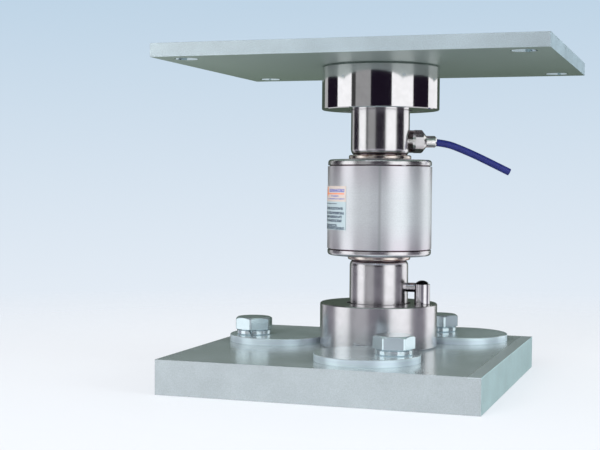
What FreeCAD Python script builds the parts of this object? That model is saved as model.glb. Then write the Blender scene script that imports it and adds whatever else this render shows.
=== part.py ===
import FreeCAD, Part
import math
import os
import Sketcher
from FreeCAD import Placement, Rotation, Vector

# Column load cell in its mounting kit: a rocker column with a welded gauge housing stands between
# two cups, the lower one held on a thick base plate by three eccentric discs, the upper one
# screwed under a thinner top plate. Millimetres and degrees. The origin is on the column's axis
# at the underside of the base plate, +Z is up the column, +X runs along the plates' front edge.

DOC = FreeCAD.newDocument("LoadCell")
SHEET = DOC.addObject("Spreadsheet::Sheet", "Dims")
NODES = []

DIMENSIONS = (
    # base plate
    ("base_width", 208.0),
    ("base_depth", 213.0),
    ("base_thickness", 22.5),
    ("base_offset_x", -10.5),
    ("base_offset_y", -13.0),
    # top plate and its corner holes
    ("top_width", 256.0),
    ("top_depth", 200.0),
    ("top_thickness", 9.0),
    ("corner_pitch_x", 220.0),
    ("corner_pitch_y", 164.0),
    ("corner_hole_diameter", 9.0),
    ("corner_sink_diameter", 16.4),
    # cups
    ("cup_diameter", 81.0),
    ("cup_height", 30.0),
    ("cup_floor", 21.5),
    ("cup_seat_chamfer", 1.2),
    ("cup_mouth_chamfer", 0.6),
    ("seal_width", 2.0),
    ("seal_height", 2.5),
    ("seal_depth", 0.6),
    # column
    ("column_length", 150.0),
    ("shaft_diameter", 40.5),
    ("end_radius", 160.0),
    ("end_chamfer", 1.6),
    ("neck_depth", 1.5),
    ("neck_width", 0.5),
    ("gauge_relief", 2.25),
    ("gauge_flats", 26.0),
    ("land_length", 1.9),
    # welded housing round the gauges
    ("housing_diameter", 72.0),
    ("housing_height", 65.9),
    ("housing_drop", 0.5),
    ("housing_wall", 3.0),
    ("tube_chamfer", 0.2),
    ("cap_height", 7.05),
    ("cap_rim", 4.65),
    ("cap_step", 0.2),
    ("cap_round", 2.2),
    ("groove_width", 0.8),
    ("groove_depth", 1.1),
    ("bead_width", 1.3),
    ("bead_height", 3.1),
    ("bead_round", 1.0),
    # strain gauges, terminal board and leads
    ("gauge_length", 10.0),
    ("gauge_width", 7.0),
    ("gauge_thickness", 0.3),
    ("board_width", 9.5),
    ("board_thickness", 1.6),
    ("board_gap", 0.3),
    ("lead_diameter", 2.4),
    ("lead_offset", 2.5),
    ("lead_bore", 3.6),
    ("lead_bend", 3.0),
    ("lead_turn", 1.5),
    # cable gland
    ("gland_angle", 24.0),
    ("gland_rise", 12.85),
    ("gland_thread_diameter", 10.0),
    ("gland_thread_length", 9.0),
    ("gland_flange_diameter", 15.6),
    ("gland_flange_length", 3.35),
    ("gland_hex_flats", 14.0),
    ("gland_hex_length", 8.3),
    ("gland_hex_turn", 10.0),
    ("gland_hex_land", 0.25),
    ("gland_sink", 2.9),
    ("gland_lead_bore", 4.0),
    ("sleeve_diameter", 8.1),
    ("sleeve_length", 7.2),
    ("sleeve_chamfer", 0.9),
    ("sleeve_play", 0.3),
    ("packing_inset", 2.4),
    ("packing_length", 2.5),
    ("cable_diameter", 5.0),
    # label on the housing
    ("label_rise", 17.85),
    ("label_height", 29.7),
    ("label_start", -184.0),
    ("label_sweep", 70.0),
    ("label_thickness", 0.3),
    # rotation stop
    ("stop_angle", 1.5),
    ("stop_circle", 30.6),
    ("stop_rise", 11.3),
    ("stop_gap", 0.1),
    ("arm_diameter", 6.4),
    ("arm_depth", 12.0),
    ("arm_overrun", 3.8),
    ("arm_proud", 0.8),
    ("post_diameter", 10.7),
    ("spigot_diameter", 6.0),
    ("spigot_length", 6.0),
    ("spigot_play", 0.3),
    ("button_diameter", 8.6),
    ("button_height", 1.8),
    ("button_socket", 2.5),
    ("button_socket_depth", 1.1),
    ("button_thread", 4.0),
    ("button_length", 9.5),
    ("button_tip_gap", 0.5),
    # countersunk screws of the upper cup
    ("cup_screw_circle", 60.0),
    ("cup_screw_angle", 37.0),
    ("cup_screw_thread", 6.0),
    ("cup_screw_head", 12.0),
    ("cup_screw_socket", 4.0),
    ("cup_screw_socket_depth", 2.4),
    ("cup_screw_play", 0.3),
    ("cup_screw_bite", 5.5),
    # eccentric discs, lock washers and hexagon bolts
    ("disc_diameter", 68.4),
    ("disc_thickness", 4.7),
    ("disc_chamfer", 0.4),
    ("disc_eccentricity", 17.3),
    ("disc_gap", 0.1),
    ("bolt_circle", 160.0),
    ("bolt_offset_x", -10.5),
    ("bolt_offset_y", -4.0),
    ("bolt_thread", 16.0),
    ("bolt_play", 0.75),
    ("bolt_flats", 24.0),
    ("bolt_corners", 26.9),
    ("bolt_crown", 22.8),
    ("bolt_head_height", 8.8),
    ("bolt_face_height", 0.4),
    ("bolt_bite", 16.0),
    ("tapping_run", 2.0),
    ("washer_diameter", 24.2),
    ("washer_thickness", 3.5),
    ("washer_play", 0.2),
    ("washer_chamfer", 0.6),
    ("washer_slit", 1.6),
)

BOLT_ANGLES = (-60.0, 180.0, 60.0)
BOLT_TURNS = (14.0, 39.2, 57.0)
SLIT_ANGLES = (75.0, -72.0, 160.0)

# Cable route in the gland's vertical plane: distance outward from the sleeve's mouth, and rise.
CABLE_ROUTE = ((-13.1, 0.0), (4.4, 0.0), (20.9, -6.0), (36.9, -13.2), (52.3, -20.6))

# Share of the shorter of two runs that the bend between them takes up.
CABLE_BEND_SHARE = 0.45

# Fillet radius on the column's 45 degree shoulders, in neck depths: it takes up nearly all the cone.
SHOULDER_ROUND = 3.25

for row, (alias, number) in enumerate(DIMENSIONS, 1):
    SHEET.set("A%d" % row, alias)
    SHEET.set("B%d" % row, str(number))
    SHEET.setAlias("B%d" % row, alias)
DOC.recompute()


class Size:
    """A number together with the sheet expression that gives it."""

    def __init__(self, number, text):
        self.number = number
        self.text = text

    def __float__(self):
        return float(self.number)

    def __add__(self, other):
        return combined(self, "+", other)

    def __radd__(self, other):
        return combined(other, "+", self)

    def __sub__(self, other):
        return combined(self, "-", other)

    def __rsub__(self, other):
        return combined(other, "-", self)

    def __mul__(self, other):
        return combined(self, "*", other)

    def __rmul__(self, other):
        return combined(other, "*", self)

    def __truediv__(self, other):
        return combined(self, "/", other)

    def __neg__(self):
        return combined(0, "-", self)


def combined(first, sign, second):
    """Two sizes, or a size and a number, joined by one of the signs + - * /."""
    one, two = float(first), float(second)
    number = {"+": one + two, "-": one - two, "*": one * two}.get(sign)
    if number is None:
        number = one / two
    return Size(number, "(%s %s %s)" % (written(first), sign, written(second)))


def written(size):
    """The expression text of a size or of a plain number."""
    return size.text if isinstance(size, Size) else repr(float(size))


def size(alias):
    """The sheet's cell of this alias."""
    return Size(float(SHEET.get(alias)), "Dims." + alias)


def bind(item, prop, amount):
    """Set a property, and tie it to the sheet where its size comes from there."""
    if isinstance(amount, Size):
        item.setExpression(prop, amount.text)
    else:
        setattr(item, prop, amount)


def place(item, x=0, y=0, z=0, rotation=None):
    """Give an object its place, tied to the sheet coordinate by coordinate."""
    item.Placement = Placement(Vector(float(x), float(y), float(z)), rotation or Rotation())
    for axis, amount in (("x", x), ("y", y), ("z", z)):
        if isinstance(amount, Size):
            item.setExpression("Placement.Base." + axis, amount.text)
    return item


def keep(item, label):
    """Name a finished sub-part."""
    item.Label = label
    NODES.append(item)
    return item


def about_z(angle):
    return Rotation(Vector(0, 0, 1), float(angle))


def outward(angle):
    """Rotation that lays an object's own Z along the horizontal direction of this angle."""
    return about_z(angle).multiply(Rotation(Vector(0, 1, 0), 90))


def upside_down():
    return Rotation(Vector(1, 0, 0), 180)


def polar(radius, angle):
    """Point of the XY plane at a distance and an angle from the axis."""
    turn = math.radians(float(angle))
    return float(radius) * math.cos(turn), float(radius) * math.sin(turn)


def cylinder(name, radius, height, x=0, y=0, z=0, rotation=None):
    item = DOC.addObject("Part::Cylinder", name)
    bind(item, "Radius", radius)
    bind(item, "Height", height)
    return place(item, x, y, z, rotation)


def cone(name, radius1, radius2, height, x=0, y=0, z=0, rotation=None):
    item = DOC.addObject("Part::Cone", name)
    bind(item, "Radius1", radius1)
    bind(item, "Radius2", radius2)
    bind(item, "Height", height)
    return place(item, x, y, z, rotation)


def box(name, length, width, height, x=0, y=0, z=0, rotation=None):
    item = DOC.addObject("Part::Box", name)
    bind(item, "Length", length)
    bind(item, "Width", width)
    bind(item, "Height", height)
    return place(item, x, y, z, rotation)


def sphere(name, radius, z=0):
    item = DOC.addObject("Part::Sphere", name)
    bind(item, "Radius", radius)
    return place(item, z=z)


def hexagon(name, flats, height, z=0, rotation=None):
    """Hexagonal prism of a given width across its flats."""
    item = DOC.addObject("Part::Prism", name)
    item.Polygon = 6
    bind(item, "Circumradius", flats * (1 / math.sqrt(3)))
    bind(item, "Height", height)
    return place(item, z=z, rotation=rotation)


def fuse(name, items):
    item = DOC.addObject("Part::MultiFuse", name)
    item.Shapes = items
    return item


def common(name, items):
    item = DOC.addObject("Part::MultiCommon", name)
    item.Shapes = items
    return item


def cut(name, base, tools):
    item = DOC.addObject("Part::Cut", name)
    item.Base = base
    item.Tool = tools[0] if len(tools) == 1 else fuse(name + "_tools", tools)
    return item


def turned(name, outline):
    """Body revolved about its own Z from a closed outline of (radius, height) points."""
    body = DOC.addObject("PartDesign::Body", name)
    plane = [item for item in body.Origin.OriginFeatures if item.Role == "XZ_Plane"][0]
    sketch = body.newObject("Sketcher::SketchObject", name + "_outline")
    sketch.AttachmentSupport = (plane, [""])
    sketch.MapMode = "FlatFace"
    points = [Vector(float(r), float(h), 0) for r, h in outline]
    count = len(points)
    for index in range(count):
        sketch.addGeometry(Part.LineSegment(points[index], points[(index + 1) % count]), False)
    for index in range(count):
        sketch.addConstraint(Sketcher.Constraint("Coincident", index, 2, (index + 1) % count, 1))
    for index, (radius, height) in enumerate(outline):
        for kind, axis, amount in (("DistanceX", -2, radius), ("DistanceY", -1, height)):
            if not isinstance(amount, Size) and amount == 0:
                sketch.addConstraint(Sketcher.Constraint("PointOnObject", index, 1, axis))
                continue
            number = sketch.addConstraint(
                Sketcher.Constraint(kind, -1, 1, index, 1, float(amount)))
            sketch.setExpression("Constraints[%d]" % number, written(amount))
    turn = body.newObject("PartDesign::Revolution", name + "_turned")
    turn.Profile = sketch
    turn.ReferenceAxis = (sketch, ["V_Axis"])
    turn.Angle = 360
    sketch.Visibility = False
    DOC.recompute()
    return body


def round_rims(body, name, rims, radius):
    """Round the circular edges of a turned body that lie at the given (radius, height) places."""
    feature = body.Tip
    found = []
    for number, edge in enumerate(feature.Shape.Edges, 1):
        if not isinstance(edge.Curve, Part.Circle):
            continue
        for rim_radius, rim_height in rims:
            same_radius = abs(edge.Curve.Radius - float(rim_radius)) < 1e-4
            if same_radius and abs(edge.Curve.Center.z - float(rim_height)) < 1e-4:
                found.append("Edge%d" % number)
    item = body.newObject("PartDesign::Fillet", name)
    item.Base = (feature, found)
    bind(item, "Radius", radius)
    DOC.recompute()
    return body


def ring(name, inner, outer, height):
    """Plain turned ring standing on its own z = 0."""
    return turned(name, ((inner, 0), (outer, 0), (outer, height), (inner, height)))


def bent_path(points, bends):
    """Wire of straight runs joined by tangent arcs, one bend radius for each inner point."""
    edges = []
    start = points[0]
    for index in range(1, len(points) - 1):
        corner = points[index]
        back = (points[index - 1] - corner).normalize()
        ahead = (points[index + 1] - corner).normalize()
        half = back.getAngle(ahead) / 2
        radius = bends[index - 1]
        reach = radius / math.tan(half)
        enter, leave = corner + back * reach, corner + ahead * reach
        towards = (back + ahead).normalize()
        middle = corner + towards * (radius / math.sin(half) - radius)
        edges.append(Part.LineSegment(start, enter).toShape())
        edges.append(Part.Arc(enter, middle, leave).toShape())
        start = leave
    edges.append(Part.LineSegment(start, points[-1]).toShape())
    return Part.Wire(edges)


def swept(path, radius):
    """Round tube solid along a wire."""
    first = path.OrderedEdges[0]
    start = first.valueAt(first.FirstParameter)
    direction = first.tangentAt(first.FirstParameter)
    profile = Part.Wire(Part.Circle(start, direction, radius).toShape())
    return path.makePipeShell([profile], True, False)


# Shared sizes and levels.
CUP_R = size("cup_diameter") / 2
SHAFT_R = size("shaft_diameter") / 2
RECESS_R = SHAFT_R + size("seal_width")
NECK_R = SHAFT_R - size("neck_depth")
HOUSING_R = size("housing_diameter") / 2
TUBE_BORE = HOUSING_R - size("housing_wall")

BASE_TOP = size("base_thickness")
CUP_TOP = BASE_TOP + size("cup_height")
FOOT = BASE_TOP + size("cup_floor")
HEAD = FOOT + size("column_length")
TOP_SEAT = HEAD + size("cup_floor")
UPPER_MOUTH = TOP_SEAT - size("cup_height")

HOUSING_MID = size("column_length") / 2 - size("housing_drop")
LOW_FACE = HOUSING_MID - size("housing_height") / 2
HIGH_FACE = HOUSING_MID + size("housing_height") / 2
GLAND_LEVEL = HIGH_FACE + size("gland_rise")
STOP_LEVEL = CUP_TOP + size("stop_rise")

FLANGE_END = SHAFT_R + size("gland_flange_length")
HEX_END = FLANGE_END + size("gland_hex_length")
SLEEVE_END = HEX_END + size("sleeve_length")
PACKING_START = FLANGE_END + size("packing_inset")
PACKING_END = PACKING_START + size("packing_length")
LEAD_RADIUS = size("gauge_flats") / 2 + size("lead_offset")
SHOULDER = size("cap_height") + size("land_length")


def bolt_points():
    """Bolt centres: a regular triangle whose centre lies beside the column's axis."""
    points = []
    for angle in BOLT_ANGLES:
        x, y = polar(size("bolt_circle") / 2, angle)
        points.append((x + float(size("bolt_offset_x")), y + float(size("bolt_offset_y"))))
    return points


def disc_centre(bolt):
    """Centre of an eccentric disc that is turned about its bolt until it meets the cup."""
    reach = float(CUP_R + size("disc_diameter") / 2 + size("disc_gap"))
    arm = float(size("disc_eccentricity"))
    away = math.hypot(*bolt)
    swing = math.acos((reach ** 2 + away ** 2 - arm ** 2) / (2 * reach * away))
    return polar(reach, math.degrees(math.atan2(bolt[1], bolt[0]) - swing))


def make_base_plate():
    plate = box("base_blank", size("base_width"), size("base_depth"), size("base_thickness"),
                size("base_offset_x") - size("base_width") / 2,
                size("base_offset_y") - size("base_depth") / 2, 0)
    depth = size("bolt_bite") + size("tapping_run")
    holes = []
    for index, (x, y) in enumerate(bolt_points(), 1):
        holes.append(cylinder("base_tapping_%d" % index, size("bolt_thread") / 2, depth + 1,
                              x, y, BASE_TOP - depth))
    keep(cut("base_drilled", plate, holes), "base_plate")


def make_top_plate():
    thickness = size("top_thickness")
    plate = box("top_blank", size("top_width"), size("top_depth"), thickness,
                -size("top_width") / 2, -size("top_depth") / 2, 0)
    drill, sink = size("corner_hole_diameter") / 2, size("corner_sink_diameter") / 2
    tools = []
    for index, (across, along) in enumerate(((-1, -1), (1, -1), (1, 1), (-1, 1)), 1):
        x, y = size("corner_pitch_x") * (across / 2), size("corner_pitch_y") * (along / 2)
        tools.append(cylinder("corner_drill_%d" % index, drill, thickness + 2, x, y, -1))
        tools.append(cone("corner_sink_%d" % index, sink, drill, sink - drill, x, y, 0))
    for index, (x, y) in enumerate(cup_screw_points(), 1):
        tools.append(cylinder("cup_screw_tapping_%d" % index, size("cup_screw_thread") / 2,
                              size("cup_screw_bite") + 2, x, y, -1))
    keep(place(cut("top_drilled", plate, tools), z=TOP_SEAT), "top_plate")


def cup_screw_points():
    points = []
    for step in range(3):
        angle = float(size("cup_screw_angle")) + 120 * step
        points.append(polar(size("cup_screw_circle") / 2, angle))
    return points


def cup_body(name):
    """Load cup with its mouth up: a flat hardened floor in a round recess."""
    height, seat, mouth = size("cup_height"), size("cup_seat_chamfer"), size("cup_mouth_chamfer")
    return turned(name, (
        (0, 0), (CUP_R - seat, 0), (CUP_R, seat), (CUP_R, height - mouth),
        (CUP_R - mouth, height), (RECESS_R, height), (RECESS_R, size("cup_floor")),
        (0, size("cup_floor"))))


def make_lower_cup():
    x, y = polar(size("stop_circle"), size("stop_angle"))
    depth = size("spigot_length") + 1
    bore = size("spigot_diameter") / 2 + size("spigot_play")
    hole = cylinder("stop_bore", bore, depth + 1, x, y, size("cup_height") - depth)
    keep(place(cut("lower_cup_drilled", cup_body("lower_cup_body"), [hole]), z=BASE_TOP),
         "lower_cup")


def make_upper_cup():
    """The same cup upside down, with three countersunk screws into the top plate."""
    height = size("cup_height")
    thread, head = size("cup_screw_thread") / 2, size("cup_screw_head") / 2
    tools = []
    for index, (x, y) in enumerate(cup_screw_points(), 1):
        tools.append(cylinder("cup_screw_way_%d" % index, thread + size("cup_screw_play"),
                              height + 2, x, -y, -1))
        tools.append(cone("cup_screw_sink_%d" % index, thread, head, head - thread,
                          x, -y, height - (head - thread)))
    cup = cut("upper_cup_drilled", cup_body("upper_cup_body"), tools)
    keep(place(cup, z=TOP_SEAT, rotation=upside_down()), "upper_cup")
    for index, (x, y) in enumerate(cup_screw_points(), 1):
        name = "cup_screw_%d" % index
        solid = fuse(name + "_solid", [
            cone(name + "_head", head, thread, head - thread),
            cylinder(name + "_shank", thread, height + size("cup_screw_bite"))])
        socket = hexagon(name + "_socket", size("cup_screw_socket"),
                         size("cup_screw_socket_depth") + 1, z=-1)
        keep(place(cut(name + "_cut", solid, [socket]), x, y, UPPER_MOUTH), name)


def make_recess_seals():
    """Elastomer rings that centre the column's ends in the mouths of the cups."""
    height = size("seal_height")
    lower = ring("lower_seal_ring", SHAFT_R, RECESS_R, height)
    keep(place(lower, z=CUP_TOP - size("seal_depth") - height), "lower_recess_seal")
    upper = ring("upper_seal_ring", SHAFT_R, RECESS_R, height)
    keep(place(upper, z=UPPER_MOUTH + size("seal_depth")), "upper_recess_seal")


def make_column():
    """Rocker column: spherical ends, welding lands, and a gauge section milled to four flats."""
    length, chamfer = size("column_length"), size("end_chamfer")
    neck, depth = size("neck_width"), size("neck_depth")
    gauge = SHAFT_R - size("gauge_relief")
    low_bead, high_bead = LOW_FACE - size("bead_height"), HIGH_FACE + size("bead_height")
    low_neck, high_neck = low_bead - neck, high_bead + neck
    shaft = turned("column_turned", (
        (0, 0), (SHAFT_R - chamfer, 0), (SHAFT_R, chamfer), (SHAFT_R, low_neck - depth),
        (NECK_R, low_neck), (NECK_R, low_bead), (SHAFT_R, low_bead),
        (SHAFT_R, LOW_FACE + SHOULDER), (gauge, LOW_FACE + SHOULDER),
        (gauge, HIGH_FACE - SHOULDER), (SHAFT_R, HIGH_FACE - SHOULDER), (SHAFT_R, high_bead),
        (NECK_R, high_bead), (NECK_R, high_neck), (SHAFT_R, high_neck + depth),
        (SHAFT_R, length - chamfer), (SHAFT_R - chamfer, length), (0, length)))
    round_rims(shaft, "column_shoulders", (
        (SHAFT_R, low_neck - depth), (SHAFT_R, high_neck + depth)), depth * SHOULDER_ROUND)
    domed = common("column_domed", [
        shaft, sphere("column_lower_dome", size("end_radius"), size("end_radius")),
        sphere("column_upper_dome", size("end_radius"), length - size("end_radius"))])
    tools = []
    for index in range(4):
        turn = about_z(size("gland_angle") + 90 * index)
        half = size("gauge_flats") / 2
        corner = turn.multVec(Vector(float(half), -float(SHAFT_R), 0))
        tools.append(box("gauge_flat_%d" % (index + 1), SHAFT_R, SHAFT_R * 2,
                         size("housing_height") - SHOULDER * 2,
                         corner.x, corner.y, LOW_FACE + SHOULDER, turn))
    x, y = polar(LEAD_RADIUS, size("gland_angle"))
    tools.append(cylinder("lead_way", size("lead_bore") / 2,
                          GLAND_LEVEL - (HIGH_FACE - SHOULDER) + 1, x, y,
                          HIGH_FACE - SHOULDER - 1))
    seat = SHAFT_R - size("gland_thread_length")
    sx, sy = polar(seat, size("gland_angle"))
    tools.append(cylinder("gland_tapping", size("gland_thread_diameter") / 2,
                          size("gland_thread_length") + 2, sx, sy, GLAND_LEVEL,
                          outward(size("gland_angle"))))
    ax, ay = polar(SHAFT_R - size("arm_depth"), size("stop_angle"))
    tools.append(cylinder("arm_bore", size("arm_diameter") / 2, size("arm_depth") + 2,
                          ax, ay, STOP_LEVEL - FOOT, outward(size("stop_angle"))))
    keep(place(cut("column_cut", domed, tools), z=FOOT), "column")


def make_housing():
    """Welded can round the gauge section: a tube between two grooved caps with rounded rims."""
    edge, rim, height = size("tube_chamfer"), size("cap_rim"), size("cap_height")
    tube_length = size("housing_height") - rim * 2
    tube = turned("housing_tube_body", (
        (TUBE_BORE, 0), (HOUSING_R - edge, 0), (HOUSING_R, edge), (HOUSING_R, tube_length - edge),
        (HOUSING_R - edge, tube_length), (TUBE_BORE, tube_length)))
    keep(place(tube, z=FOOT + LOW_FACE + rim), "housing_tube")
    cap_r = HOUSING_R - size("cap_step")
    groove_r, groove_end = cap_r - size("groove_depth"), height - rim + size("groove_width")
    places = (("upper", FOOT + HIGH_FACE - height, None),
              ("lower", FOOT + LOW_FACE + height, upside_down()))
    for side, level, rotation in places:
        cap = turned("housing_cap_%s" % side, (
            (SHAFT_R, 0), (TUBE_BORE, 0), (TUBE_BORE, height - rim), (groove_r, height - rim),
            (groove_r, groove_end), (cap_r, groove_end), (cap_r, height), (SHAFT_R, height)))
        round_rims(cap, "cap_rim_%s" % side, ((cap_r, height),), size("cap_round"))
        keep(place(cap, z=level, rotation=rotation), "housing_%s_cap" % side)
    bead_r, bead = SHAFT_R + size("bead_width"), size("bead_height")
    for side, level in (("upper", FOOT + HIGH_FACE), ("lower", FOOT + LOW_FACE - bead)):
        weld = ring("weld_ring_%s" % side, SHAFT_R, bead_r, bead)
        round_rims(weld, "weld_round_%s" % side, ((bead_r, 0), (bead_r, bead)),
                   size("bead_round"))
        keep(place(weld, z=level), "%s_weld_bead" % side)


def make_gauges():
    """Four foil gauges on the flats, the terminal board ring and the leads to the cable."""
    half = size("gauge_flats") / 2
    for index in range(4):
        angle = float(size("gland_angle")) + 90 * index
        corner = about_z(angle).multVec(Vector(float(half), -float(size("gauge_width")) / 2, 0))
        gauge = box("gauge_foil_%d" % (index + 1), size("gauge_thickness"), size("gauge_width"),
                    size("gauge_length"), corner.x, corner.y,
                    FOOT + HOUSING_MID - size("gauge_length") / 2, about_z(angle))
        keep(gauge, "strain_gauge_%d" % (index + 1))
    inner = SHAFT_R + size("board_gap")
    board = ring("board_ring", inner, inner + size("board_width"), size("board_thickness"))
    keep(place(board, z=FOOT + LOW_FACE + size("cap_height")), "terminal_board")
    plane = about_z(size("gland_angle"))
    start = float(inner + size("board_width") / 3)
    bore = float(LEAD_RADIUS)
    board_top = float(FOOT + LOW_FACE + size("cap_height") + size("board_thickness"))
    shoulder = float(FOOT + HIGH_FACE - SHOULDER)
    level = float(FOOT + GLAND_LEVEL)
    bend, turn = float(size("lead_bend")), float(size("lead_turn"))
    route = ((start, board_top), (start, shoulder - 2.5 * bend - (start - bore)),
             (bore, shoulder - bend), (bore, level), (float(PACKING_START), level))
    points = [plane.multVec(Vector(r, 0, z)) for r, z in route]
    leads = DOC.addObject("Part::Feature", "lead_bundle")
    leads.Shape = swept(bent_path(points, (bend, bend, turn)), float(size("lead_diameter")) / 2)
    keep(leads, "lead_bundle")


def make_gland():
    """Cable gland: saddle flange on the shaft, hexagon body, packing and pressure sleeve."""
    angle = size("gland_angle")
    thread = size("gland_thread_diameter") / 2
    seat = SHAFT_R - size("gland_thread_length")
    flange_r = size("gland_flange_diameter") / 2
    sleeve_r, cable_r = size("sleeve_diameter") / 2, size("cable_diameter") / 2
    flange = cut("gland_saddle", cylinder(
        "gland_flange", flange_r, FLANGE_END - seat, z=seat), [cylinder(
            "gland_shaft", SHAFT_R, size("gland_flange_diameter") * 2,
            size("gland_flange_diameter"), 0, 0, Rotation(Vector(0, 1, 0), -90))])
    hexagonal = common("gland_hexagon", [
        hexagon("gland_prism", size("gland_hex_flats"), size("gland_hex_length"), FLANGE_END,
                about_z(size("gland_hex_turn"))),
        cone("gland_hex_chamfer",
             sleeve_r + size("gland_hex_length") / size("gland_sink") * (flange_r - sleeve_r),
             sleeve_r + size("gland_hex_land"), size("gland_hex_length"), z=FLANGE_END)])
    solid = fuse("gland_solid", [
        cylinder("gland_spigot", thread, FLANGE_END - seat, z=seat), flange, hexagonal])
    bores = [
        cylinder("gland_lead_way", size("gland_lead_bore") / 2, PACKING_START - seat + 1,
                 z=seat - 0.5),
        cylinder("gland_side_way", size("gland_lead_bore") / 2, thread + 1, z=LEAD_RADIUS,
                 rotation=Rotation(Vector(0, 1, 0), 90)),
        cylinder("gland_packing_bore", sleeve_r, HEX_END - PACKING_START + 1, z=PACKING_START)]
    level = FOOT + GLAND_LEVEL
    gland = cut("gland_bored", solid, bores)
    keep(place(gland, z=level, rotation=outward(angle)), "gland_body")
    bore, chamfer = cable_r + size("sleeve_play"), size("sleeve_chamfer")
    reach = SLEEVE_END - PACKING_END
    sleeve = turned("gland_sleeve_body", (
        (bore, 0), (sleeve_r, 0), (sleeve_r, reach - chamfer), (sleeve_r - chamfer, reach),
        (bore, reach)))
    x, y = polar(PACKING_END, angle)
    keep(place(sleeve, x, y, level, outward(angle)), "gland_sleeve")
    packing = ring("gland_packing_ring", cable_r, sleeve_r, size("packing_length"))
    x, y = polar(PACKING_START, angle)
    keep(place(packing, x, y, level, outward(angle)), "gland_packing")


def make_cable():
    """Short end of cable that leaves the gland level and droops to its cut end."""
    plane = about_z(size("gland_angle"))
    mouth, level = float(SLEEVE_END), float(FOOT + GLAND_LEVEL)
    points = [plane.multVec(Vector(mouth + out, 0, level + rise)) for out, rise in CABLE_ROUTE]
    bends = []
    for index in range(1, len(points) - 1):
        before, after = points[index] - points[index - 1], points[index + 1] - points[index]
        shorter = min(before.Length, after.Length)
        bends.append(CABLE_BEND_SHARE * shorter / math.tan(before.getAngle(after) / 2))
    print("cable bend radii", [round(bend, 1) for bend in bends])
    radius = float(size("cable_diameter")) / 2
    path = bent_path(points, bends)
    cable = DOC.addObject("Part::Feature", "cable_tube")
    cable.Shape = swept(path, radius)
    section = math.pi * radius ** 2 * path.Length
    print("cable length %.2f volume %.2f of %.2f" % (path.Length, cable.Shape.Volume, section))
    keep(cable, "cable")


def make_label():
    """Thin plate wrapped round part of the housing tube."""
    thickness, height = size("label_thickness"), size("label_height")
    skin = cylinder("label_skin", HOUSING_R + thickness, height)
    bind(skin, "Angle", size("label_sweep"))
    core = cylinder("label_core", HOUSING_R, height + 2, z=-1)
    label = cut("label_cut", skin, [core])
    keep(place(label, z=FOOT + LOW_FACE + size("label_rise"),
               rotation=about_z(size("label_start"))), "label_plate")


def make_rotation_stop():
    """Arm out of the column into a post whose spigot has play in a bore of the lower cup."""
    angle = size("stop_angle")
    arm_r, post_r, thread = (size("arm_diameter") / 2, size("post_diameter") / 2,
                             size("button_thread") / 2)
    x, y = polar(size("stop_circle"), angle)
    arm_top = STOP_LEVEL + arm_r
    hollow = size("button_length") + size("button_tip_gap")
    inner = SHAFT_R - size("arm_depth")
    reach = size("stop_circle") + size("arm_overrun") - inner
    ax, ay = polar(inner, angle)
    arm = cut("arm_drilled", cylinder("arm_pin", arm_r, reach, ax, ay, STOP_LEVEL, outward(angle)),
              [cylinder("arm_drill", thread, arm_r * 2 + 2, x, y, STOP_LEVEL - arm_r - 1)])
    keep(arm, "rotation_stop_arm")
    seat = CUP_TOP + size("stop_gap")
    solid = fuse("post_solid", [
        cylinder("post_round", post_r, arm_top - size("arm_proud") - seat),
        cylinder("post_spigot", size("spigot_diameter") / 2, size("spigot_length") + 1,
                 z=-size("spigot_length"))])
    slot_length = post_r + size("arm_overrun") + 2
    saddle = STOP_LEVEL - seat
    tools = [
        cylinder("post_saddle", arm_r, slot_length, -(post_r + 2), 0, saddle,
                 Rotation(Vector(0, 1, 0), 90)),
        box("post_slot", slot_length, arm_r * 2, arm_r + 1, -(post_r + 2), -arm_r, saddle),
        cylinder("post_drill", thread, hollow + 1, z=arm_top - seat - hollow)]
    post = cut("post_cut", solid, tools)
    keep(place(post, x, y, seat, about_z(angle)), "rotation_stop_post")
    dome, rise = size("button_diameter") / 2, size("button_height")
    globe = (dome * dome + rise * rise) / (rise * 2)
    head = common("button_head", [cylinder("button_blank", dome, rise),
                                  sphere("button_dome", globe, rise - globe)])
    solid = fuse("button_solid", [
        head, cylinder("button_shank", thread, size("button_length") + rise / 2,
                       z=-size("button_length"))])
    socket = hexagon("button_hexagon", size("button_socket"), rise,
                     z=rise - size("button_socket_depth"))
    screw = cut("button_cut", solid, [socket])
    keep(place(screw, x, y, arm_top), "rotation_stop_screw")


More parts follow.
